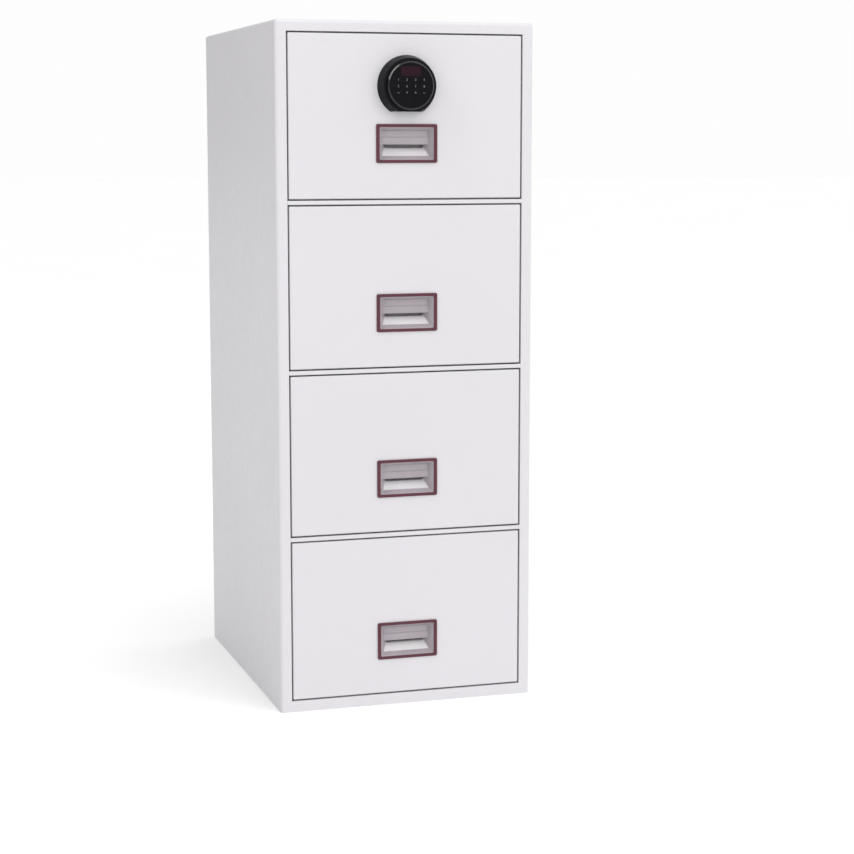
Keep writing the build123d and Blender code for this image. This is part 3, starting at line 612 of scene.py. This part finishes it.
def make_finishes(colours):
    """Makes each finish once."""
    if FINISHES:
        return FINISHES
    FINISHES.update(
        enamel=baked_enamel("baked_enamel", colours.enamel),
        inside=baked_enamel("inside_enamel", colours.inside, 0.94),
        filling=cast_filling("cast_filling", colours.filling),
        zinc=zinc_plate("zinc_plate", colours.zinc),
        seal=seal_strip("seal_strip", colours.seal),
        nylon=moulding("nylon", colours.nylon, 0.45, 0.6),
        handle=moulding("handle_moulding", colours.handle, 0.34, 0.46),
        # The tub's up-facing cup floor gets painted light from above through the pale mark
        tub=moulding("tub_moulding", colours.handle, 0.34, 0.46, pale=colours.cup_floor_light),
        rim=moulding("rim_moulding", colours.rim, 0.32, 0.45, gloss=0.3),
        card=card_stock("card_stock", colours.card),
        housing=moulding("housing_black", colours.housing, 0.3, 0.42, 0.85, gloss=0.1),
        dial=moulding("dial_black", colours.dial, 0.14, 0.2, 0.85, 2600, gloss=0.4),
        glass=polished("touch_glass", colours.glass),
        marks=printed_marks("printed_marks", colours.marks),
        window=polished("smoked_window", colours.window, 0.05, 0.12),
        sleeve=moulding("battery_sleeve", colours.sleeve, 0.25, 0.4),
    )
    return FINISHES


# Operators


class CABINET_OT_coat_casing(Operator):
    """Coats the casing, the front frame and the drawer faces with baked enamel"""

    bl_idname = "cabinet.coat_casing"
    bl_label = "Coat casing"

    def execute(self, context):
        finishes = make_finishes(context.scene.cabinet_colours)
        coat(finishes["enamel"], "outer_casing", "front_dividers", "rebate_frame", "back_panel", "base_pan")
        coat(finishes["enamel"], *[f"drawer_face_{number}" for number in DRAWERS])
        return {"FINISHED"}


class CABINET_OT_finish_inside(Operator):
    """Finishes the insulation, the liners, the seals and the trays"""

    bl_idname = "cabinet.finish_inside"
    bl_label = "Finish inside"

    def execute(self, context):
        finishes = make_finishes(context.scene.cabinet_colours)
        coat(finishes["inside"], "compartment_liners")
        coat(finishes["filling"], "insulation_panels")
        coat(finishes["seal"], "fire_seals")
        for number in DRAWERS:
            coat(finishes["inside"], f"drawer_tray_{number}", f"drawer_head_shell_{number}")
            coat(finishes["filling"], f"drawer_insulation_{number}")
            coat(finishes["zinc"], f"file_rails_{number}")
        return {"FINISHED"}


class CABINET_OT_finish_slides(Operator):
    """Plates the outer, middle and inner channels of the slides with zinc"""

    bl_idname = "cabinet.finish_slides"
    bl_label = "Finish slides"

    def execute(self, context):
        finishes = make_finishes(context.scene.cabinet_colours)
        coat(finishes["zinc"], "cabinet_slide_members")
        for number in DRAWERS:
            coat(finishes["zinc"], f"slide_middle_members_{number}", f"drawer_slide_members_{number}")
        return {"FINISHED"}


class CABINET_OT_finish_mechanism(Operator):
    """Finishes the locking bar, the bolt, the spindle, the case and the batteries"""

    bl_idname = "cabinet.finish_mechanism"
    bl_label = "Finish mechanism"

    def execute(self, context):
        finishes = make_finishes(context.scene.cabinet_colours)
        coat(finishes["zinc"], "gang_bar", "gang_bar_studs", "lock_bolt", "lock_spindle", "lock_case")
        coat(finishes["nylon"], "gang_bar_guides")
        coat(finishes["sleeve"], "lock_batteries")
        return {"FINISHED"}


class CABINET_OT_make_handles(Operator):
    """Models a handle, its tub, pull, rim and card, and copies it to each drawer"""

    bl_idname = "cabinet.make_handles"
    bl_label = "Make handles"

    def tub(self, sizes, centre):
        """Moulded tub: flange, bevelled mouth, sloping floor and a level cup for the fingers behind it."""
        half = TUB_HIGH.x
        rise = (TUB_HIGH.z - TUB_LOW.z) / 2
        mouth = RIM_HIGH.x - sizes.rim_side, (RIM_HIGH.z - RIM_LOW.z) / 2 - sizes.rim_end
        throat = mouth[0] - sizes.funnel_draft, mouth[1] - sizes.funnel_rise_draft
        cup = throat[0] - sizes.cup_draft, throat[1] - sizes.floor_rise / 2
        front = centre + Vector((0, -sizes.flange, 0))
        cup_depth = TUB_HIGH.y - sizes.wall - centre.y - sizes.funnel_depth - sizes.ramp_depth
        tub = plate("handle_tub", front, half, rise)
        edit(tub)
        border_inside(half, rise, mouth, front)
        extrude(y=sizes.flange + sizes.funnel_depth)
        resize((throat[0] / mouth[0], 1, throat[1] / mouth[1]), front)
        extrude(y=sizes.ramp_depth)
        resize((cup[0] / throat[0], 1, cup[1] / throat[1]), front)
        bpy.ops.transform.translate(value=(0, 0, sizes.floor_rise / 2))
        extrude(y=cup_depth)
        close()
        edit(tub, "EDGE")
        pick(tub, lambda edge: len(edge.link_faces) == 2, "edges")
        bpy.ops.mesh.bevel(offset=sizes.tub_edge, segments=4)
        close()
        modified(tub, "SOLIDIFY", thickness=sizes.wall, offset=-1)
        self.paint_light_on_floor(tub, sizes)
        smooth(tub)
        return tub, throat

    def pull(self, sizes, centre, throat):
        """Pull across the tub: an upright plate, a thicker band below it and a ledge for the fingers."""
        face = centre.y + sizes.pull_depth
        top = centre.z + throat[1] + sizes.wall / 2
        low = centre.z + throat[1] - sizes.pull_height
        band = low + sizes.lip_height
        narrowing = sizes.cup_draft / sizes.ramp_depth
        half = throat[0] + sizes.wall / 2 - narrowing * (sizes.pull_depth - sizes.funnel_depth)
        ledge_half = half - narrowing * sizes.lip_grip
        pull = blank("handle_pull", (-half, face, low), (half, face + sizes.pull_sheet, top))
        edit(pull)
        for height in (band, low + sizes.pull_sheet):
            bpy.ops.mesh.select_all(action="SELECT")
            bpy.ops.mesh.bisect(plane_co=(0, 0, height), plane_no=(0, 0, 1))
        pick(pull, lambda side: side.normal.y < -FACING and middle(side).z < band)
        extrude(y=-sizes.lip_proud)
        pick(pull, lambda side: side.normal.y > FACING and middle(side).z < low + sizes.pull_sheet)
        extrude(y=sizes.lip_grip - sizes.pull_sheet)
        resize((ledge_half / half, 1, 1), Vector((0, face, low)))
        close()
        rounded(pull, sizes.lip_edge, 3)
        welded(pull)
        smooth(pull)
        return pull

    def rim(self, sizes, centre):
        """Dark rim with round outer corners and a round front."""
        half = RIM_HIGH.x
        rise = (RIM_HIGH.z - RIM_LOW.z) / 2
        inner = half - sizes.rim_side, rise - sizes.rim_end
        rim = plate("handle_rim", centre, half, rise)
        edit(rim, "VERT")
        bpy.ops.mesh.select_all(action="SELECT")
        bpy.ops.mesh.bevel(offset=sizes.rim_corner, segments=5, affect="VERTICES")
        bpy.ops.mesh.select_mode(type="FACE")
        border_inside(half, rise, inner, centre)
        bpy.ops.mesh.delete(type="FACE")
        bpy.ops.mesh.select_all(action="SELECT")
        extrude(y=RIM_LOW.y - FACE_Y)
        close()
        rounded(rim, sizes.rim_edge, 4, RIM_ANGLE)
        smooth(rim)
        return rim

    def card(self, sizes):
        """Blank card with round corners."""
        low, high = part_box("label_card_1")
        card = blank("label_card", low, high)
        edit(card, "EDGE")
        pick(card, lambda edge: abs(edge.verts[0].co.y - edge.verts[1].co.y) > CLOSE, "edges")
        bpy.ops.mesh.bevel(offset=sizes.card_corner, segments=4)
        close()
        smooth(card)
        return card

    def paint_light_on_floor(self, tub, sizes):
        """Marks the cup's floor for painted light: paler the more it faces up, as if lit from above, fading out
        over its rounded corners.
        """
        least_tilt, full_tilt = 0.1, 0.5
        marks = tub.data.attributes.new("pale", "FLOAT", "POINT")
        for vertex, mark in zip(tub.data.vertices, marks.data):
            inside = vertex.co.y > FACE_Y + sizes.funnel_depth + MM
            # Painted light: the mark grows with how far the surface faces up
            tilt = (vertex.normal.z - least_tilt) / (full_tilt - least_tilt)
            mark.value = min(1, max(0, tilt)) if inside else 0

    def execute(self, context):
        sizes = context.scene.handle_sizes
        finishes = make_finishes(context.scene.cabinet_colours)
        centre = Vector((0, FACE_Y, HANDLE_HEIGHTS[1]))
        tub, throat = self.tub(sizes, centre)
        pull = self.pull(sizes, centre, throat)
        kinds = (
            (tub, "handle_tub", "handle_grey", finishes["tub"], ("handle_tub",)),
            (pull, "handle_pull", "handle_grey", finishes["handle"], ()),
            (self.rim(sizes, centre), "handle_rim", "handle_rim", finishes["rim"], ("handle_trim",)),
            (self.card(sizes), "blank_card", "card", finishes["card"], ("label_card",)),
        )
        for first, name, slot, finish, replaced in kinds:
            for number in DRAWERS:
                shift = (0, 0, HANDLE_HEIGHTS[number] - HANDLE_HEIGHTS[1])
                piece = placed(first, f"{name}_of_drawer_{number}", shift)
                stands_for = [f"{node}_{number}" for node in replaced]
                fitted(piece, f"drawer_{number}", slot, finish, *stands_for)
            bpy.data.objects.remove(first)
        return {"FINISHED"}


class CABINET_OT_make_lock(Operator):
    """Models the lock's housing and its dial, with the touch panel, the window and plain numbers"""

    bl_idname = "cabinet.make_lock"
    bl_label = "Make lock"

    def housing(self, sizes, radius):
        """Tapered housing with a flat underside and the dial's well."""
        well = radius + sizes.well_gap
        front = LOCK_LOW.y
        back_radius = LOCK_HIGH.x
        front_radius = well + sizes.front_wall
        housing = turned("housing", LOCK_CENTRE, FACE_Y, front, back_radius, front_radius, LOCK_SIDES)
        edit(housing)
        bpy.ops.mesh.select_all(action="SELECT")
        flat = LOCK_CENTRE.z - well - sizes.flat_wall
        bpy.ops.mesh.bisect(plane_co=(0, 0, flat), plane_no=(0, 0, 1), use_fill=True, clear_inner=True)
        close()
        cutter = turned("well", LOCK_CENTRE, front + sizes.well, front - MM, well, well, LOCK_SIDES)
        shaped_by(housing, cutter, "DIFFERENCE")
        rounded(housing, sizes.housing_edge, 5, HOUSING_ANGLE)
        smooth(housing)
        return housing

    def ring(self, sizes, radius):
        """Dial with a raised ring, a floor for the panel and a hub."""
        front = DIAL_LOW.y
        back = LOCK_LOW.y + sizes.well - sizes.well_gap
        dial = turned("dial", LOCK_CENTRE, back, front, radius, radius, LOCK_SIDES)
        centre = Vector((0, front, LOCK_CENTRE.z))
        edit(dial)
        pick(dial, lambda side: side.normal.y < -FACING)
        inner = radius - sizes.ring
        extrude()
        resize((inner / radius, 1, inner / radius), centre)
        extrude(y=sizes.panel)
        close()
        edit(dial, "EDGE")
        edges = (radius, sizes.ring_edge, 1), (inner, sizes.ring_lip, 4)
        for edge_radius, width, segments in edges:
            pick(dial, lambda edge: self.on_ring(edge, front, edge_radius), "edges")
            bpy.ops.mesh.bevel(offset=width, segments=segments)
        close()
        smooth(dial)
        return dial

    def on_ring(self, edge, front, radius):
        """Whether an edge lies on the dial's front at a radius."""
        ends = [vertex.co - LOCK_CENTRE for vertex in edge.verts]
        level = all(abs(vertex.co.y - front) < CLOSE for vertex in edge.verts)
        return level and all(abs(math.hypot(end.x, end.z) - radius) < CLOSE for end in ends)

    def numbers(self, sizes):
        """Plain digits in rows of four, with a bar at each end of the last row."""
        font_over_digit = 1.4
        bar_share = 1 / 6
        curve_steps = 5
        front = DIAL_LOW.y
        marks = []
        for row, digits in enumerate(("1234", "5678", "-90-")):
            for column, digit in enumerate(digits):
                x = (column - (len(digits) - 1) / 2) * sizes.column
                z = LOCK_CENTRE.z + sizes.first_row - row * sizes.row
                if digit == "-":
                    half = Vector((sizes.digit / 2, sizes.ink, sizes.digit * bar_share / 2))
                    place = Vector((x, front, z))
                    marks.append(blank("bar", place - half, place + half))
                    continue
                bpy.ops.object.select_all(action="DESELECT")
                bpy.ops.object.text_add(location=(0, 0, 0))
                text = bpy.context.object
                text.data.body = digit
                text.data.size = sizes.digit * font_over_digit
                text.data.align_x = "CENTER"
                text.data.align_y = "CENTER"
                text.data.extrude = sizes.ink
                text.data.resolution_u = curve_steps
                bpy.ops.object.convert(target="MESH")
                mark = bpy.context.object
                mark.rotation_euler = (QUARTER, 0, 0)
                mark.location = (x, front, z)
                marks.append(started(f"digit_{digit}"))
        numbers = joined("touch_numbers", marks)
        welded(numbers)
        return numbers

    def execute(self, context):
        sizes = context.scene.lock_sizes
        finishes = make_finishes(context.scene.cabinet_colours)
        radius = DIAL_HIGH.x
        fitted(self.housing(sizes, radius), "drawer_1", "lock_black", finishes["housing"], "lock_escutcheon")
        fitted(self.ring(sizes, radius), "lock_dial", "dial_black", finishes["dial"], "lock_dial")
        coat(finishes["glass"], "touch_panel")
        coat(finishes["window"], "fingerprint_sensor")
        fitted(self.numbers(sizes), "lock_dial", "touch_glass", finishes["marks"])
        return {"FINISHED"}


class CABINET_OT_make_fasteners(Operator):
    """Models the back panel with its sunk screws, and the rivets and screws of the trays"""

    bl_idname = "cabinet.make_fasteners"
    bl_label = "Make fasteners"

    def head(self, name, radius, low, high, edge, segments):
        """A round head that points up, with a soft edge."""
        bpy.ops.object.select_all(action="DESELECT")
        centre = (0, 0, (low + high) / 2)
        bpy.ops.mesh.primitive_cylinder_add(
            vertices=HEAD_SIDES, radius=radius, depth=high - low, location=centre
        )
        head = started(name)
        edit(head)
        pick(head, lambda side: side.normal.z > FACING)
        bpy.ops.mesh.bevel(offset=edge, segments=segments)
        close()
        return head

    def cross(self, sizes, head, top):
        """Cuts a cross into a head."""
        for x, y in ((sizes.cross, sizes.cross_slot), (sizes.cross_slot, sizes.cross)):
            slot = blank("slot", (-x, -y, top - sizes.cross_depth), (x, y, top + MM))
            shaped_by(head, slot, "DIFFERENCE")
        smooth(head)

    def back(self, sizes, finishes):
        """Back panel, with a row of sunk screws inside its edges."""
        low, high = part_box("back_panel")
        panel = blank("back_sheet", low, high)
        edit(panel)
        pick(panel, lambda side: side.normal.y > FACING)
        bpy.ops.mesh.bevel(offset=sizes.seam, segments=3)
        close()
        sides = (low.x + sizes.screw_inset, high.x - sizes.screw_inset)
        step = (high.z - low.z - 2 * sizes.screw_inset) / (SIDE_SCREWS - 1)
        heights = [low.z + sizes.screw_inset + step * number for number in range(SIDE_SCREWS)]
        places = [(x, high.y, z) for x in sides for z in heights]
        # Two more at the top and two at the bottom divide the width into thirds
        places += [(x / 3, high.y, z) for x in sides for z in (heights[0], heights[-1])]
        rim = sizes.sunk_head
        inner, outer = rim - sizes.sunk_depth, rim + MM / 2
        sink = turned("sink", Vector(), MM, -sizes.sunk_depth, outer, inner, SINK_SIDES)
        sinks = joined("sinks", [placed(sink, "sink", place) for place in places])
        bpy.data.objects.remove(sink)
        shaped_by(panel, sinks, "DIFFERENCE")
        smooth(panel)
        top = -sizes.sunk_below
        screw = self.head("screw", rim - sizes.sunk_gap, -sizes.sunk_depth, top, sizes.sunk_edge, 2)
        self.cross(sizes, screw, top)
        screws = [placed(screw, "screw", place, (-QUARTER, 0, 0)) for place in places]
        bpy.data.objects.remove(screw)
        fitted(panel, "cabinet", "white_enamel", finishes["enamel"], "back_panel")
        fitted(joined("back_screws", screws), "cabinet", "zinc_steel", finishes["zinc"])

    def tray(self, sizes, finishes, rivet, screw, number):
        """Rivets that hold the slides, and screws that hold the head, inside one tray."""
        low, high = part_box(f"drawer_tray_{number}")
        slide_low, slide_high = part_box(f"drawer_slide_members_{number}")
        rivet_height = (slide_low.z + slide_high.z) / 2
        rivets = []
        for side in (-1, 1):
            for step in range(TRAY_RIVETS):
                y = slide_low.y + (slide_high.y - slide_low.y) * (FIRST_RIVET + RIVET_STEP * step)
                place = (side * (high.x - sizes.tray_sheet), y, rivet_height)
                rivets.append(placed(rivet, "rivet", place, (0, -side * QUARTER, 0)))
        inset = sizes.tray_screw_inset
        screws = []
        for x in (low.x + inset, 0, high.x - inset):
            for z in (low.z + inset, high.z - sizes.tray_screw_drop):
                screws.append(placed(screw, "screw", (x, low.y + sizes.tray_sheet, z), (-QUARTER, 0, 0)))
        body = f"drawer_{number}"
        fitted(joined(f"tray_rivets_of_drawer_{number}", rivets), body, "zinc_steel", finishes["zinc"])
        fitted(joined(f"tray_screws_of_drawer_{number}", screws), body, "zinc_steel", finishes["zinc"])

    def execute(self, context):
        sizes = context.scene.fastener_sizes
        finishes = make_finishes(context.scene.cabinet_colours)
        self.back(sizes, finishes)
        seat = -sizes.head_seat
        rivet = self.head("rivet", sizes.rivet_head, seat, sizes.rivet_rise, sizes.rivet_rise, 4)
        smooth(rivet)
        screw = self.head("screw", sizes.screw_head, seat, sizes.screw_rise, sizes.screw_edge, 4)
        self.cross(sizes, screw, sizes.screw_rise)
        for number in DRAWERS:
            self.tray(sizes, finishes, rivet, screw, number)
        bpy.data.objects.remove(rivet)
        bpy.data.objects.remove(screw)
        return {"FINISHED"}


class CABINET_OT_set_stage(Operator):
    """Sets the pale floor, the soft lights and the camera"""

    bl_idname = "cabinet.set_stage"
    bl_label = "Set stage"

    def lamp(self, name, place, target, size, power):
        """A soft light aimed at a point."""
        bpy.ops.object.select_all(action="DESELECT")
        bpy.ops.object.light_add(type="AREA", location=place)
        lamp = bpy.context.object
        lamp.name = name
        lamp.data.shape = "RECTANGLE"
        lamp.data.size, lamp.data.size_y = size
        lamp.data.energy = power
        lamp.rotation_euler = (Vector(target) - Vector(place)).to_track_quat("-Z", "Y").to_euler()

    def sky(self, context, settings):
        """Even light all round, stronger from the front right and above, in front of a pale backdrop."""
        world = context.scene.world or bpy.data.worlds.new("studio")
        context.scene.world = world
        world.use_nodes = True
        tree = world.node_tree
        make, link = tree.nodes.new, tree.links.new
        sky = tree.nodes["Background"]
        sky.inputs["Color"].default_value = (1, 1, 1, 1)
        direction = make("ShaderNodeTexCoord")
        along = make("ShaderNodeVectorMath")
        along.operation = "DOT_PRODUCT"
        along.inputs[1].default_value = Vector(settings.lean_from).normalized()
        strength = make("ShaderNodeMath")
        strength.operation = "MULTIPLY_ADD"
        strength.inputs[1].default_value = settings.lean
        strength.inputs[2].default_value = settings.sky
        backdrop = make("ShaderNodeBackground")
        backdrop.inputs["Color"].default_value = (*settings.backdrop, 1)
        rays = make("ShaderNodeLightPath")
        mix = make("ShaderNodeMixShader")
        link(direction.outputs["Generated"], along.inputs[0])
        link(along.outputs["Value"], strength.inputs[0])
        link(strength.outputs[0], sky.inputs["Strength"])
        link(rays.outputs["Is Camera Ray"], mix.inputs[0])
        link(sky.outputs[0], mix.inputs[1])
        link(backdrop.outputs[0], mix.inputs[2])
        link(mix.outputs[0], tree.nodes["World Output"].inputs["Surface"])

    def execute(self, context):
        settings = context.scene.stage_settings
        floor_size, camera_reach = 120, 200
        bpy.ops.object.select_all(action="DESELECT")
        bpy.ops.mesh.primitive_grid_add(x_subdivisions=2, y_subdivisions=2, size=floor_size, location=(0, 0, 0))
        floor = started("studio_floor")
        pale = Finish("studio_floor", settings.floor, Roughness=0.9, Specular_IOR_Level=0.1)
        pale.shade(pale.noise(0.7, 2), 0.99)
        floor.data.materials.append(pale.material)
        centre = Vector((0, 0, CAD_BOX[1].z / 2))
        self.lamp("overhead_light", (0.6, -2.4, 3.6), centre, (2.5, 2.5), settings.overhead)
        self.lamp("side_light", (2.4, -3.4, 1.9), centre, (1.6, 1.6), settings.side)
        self.lamp("edge_light", (-2.0, -1.03, 3.38), LOCK_CENTRE, (0.35, 3.0), settings.edge)
        self.sky(context, settings)
        context.scene.view_settings.view_transform = "Standard"
        turn = (QUARTER - settings.pitch, 0, settings.yaw)
        bpy.ops.object.camera_add(location=settings.camera, rotation=turn)
        camera = bpy.context.object
        camera.name = "photo_camera"
        camera.data.sensor_width = 36
        camera.data.lens = settings.lens
        camera.data.clip_end = camera_reach
        context.scene.camera = camera
        return {"FINISHED"}


class CABINET_PT_cabinet(Panel):
    """Lists the cabinet's sizes, colours and operators"""

    bl_label = "Fireproof filing cabinet"
    bl_space_type = "VIEW_3D"
    bl_region_type = "UI"
    bl_category = "Cabinet"

    def draw(self, context):
        for operator in OPERATORS:
            self.layout.operator(operator.bl_idname)
        for name in GROUPS:
            box = self.layout.box()
            group = getattr(context.scene, name)
            for item in group.bl_rna.properties:
                if not item.is_readonly:
                    box.prop(group, item.identifier)


GROUPS = {
    "cabinet_colours": CabinetColours,
    "handle_sizes": HandleSizes,
    "lock_sizes": LockSizes,
    "fastener_sizes": FastenerSizes,
    "stage_settings": StageSettings,
}
OPERATORS = (
    CABINET_OT_coat_casing,
    CABINET_OT_finish_inside,
    CABINET_OT_finish_slides,
    CABINET_OT_finish_mechanism,
    CABINET_OT_make_handles,
    CABINET_OT_make_lock,
    CABINET_OT_make_fasteners,
    CABINET_OT_set_stage,
)


def register():
    for kind in (*GROUPS.values(), *OPERATORS, CABINET_PT_cabinet):
        bpy.utils.register_class(kind)
    for name, kind in GROUPS.items():
        setattr(bpy.types.Scene, name, PointerProperty(type=kind))


def unregister():
    for name in GROUPS:
        delattr(bpy.types.Scene, name)
    for kind in reversed((*GROUPS.values(), *OPERATORS, CABINET_PT_cabinet)):
        bpy.utils.unregister_class(kind)


def main():
    register()
    bpy.ops.cabinet.coat_casing()
    bpy.ops.cabinet.finish_inside()
    bpy.ops.cabinet.finish_slides()
    bpy.ops.cabinet.finish_mechanism()
    bpy.ops.cabinet.make_handles()
    bpy.ops.cabinet.make_lock()
    bpy.ops.cabinet.make_fasteners()
    bpy.ops.cabinet.set_stage()


if __name__ == "__main__":
    main()
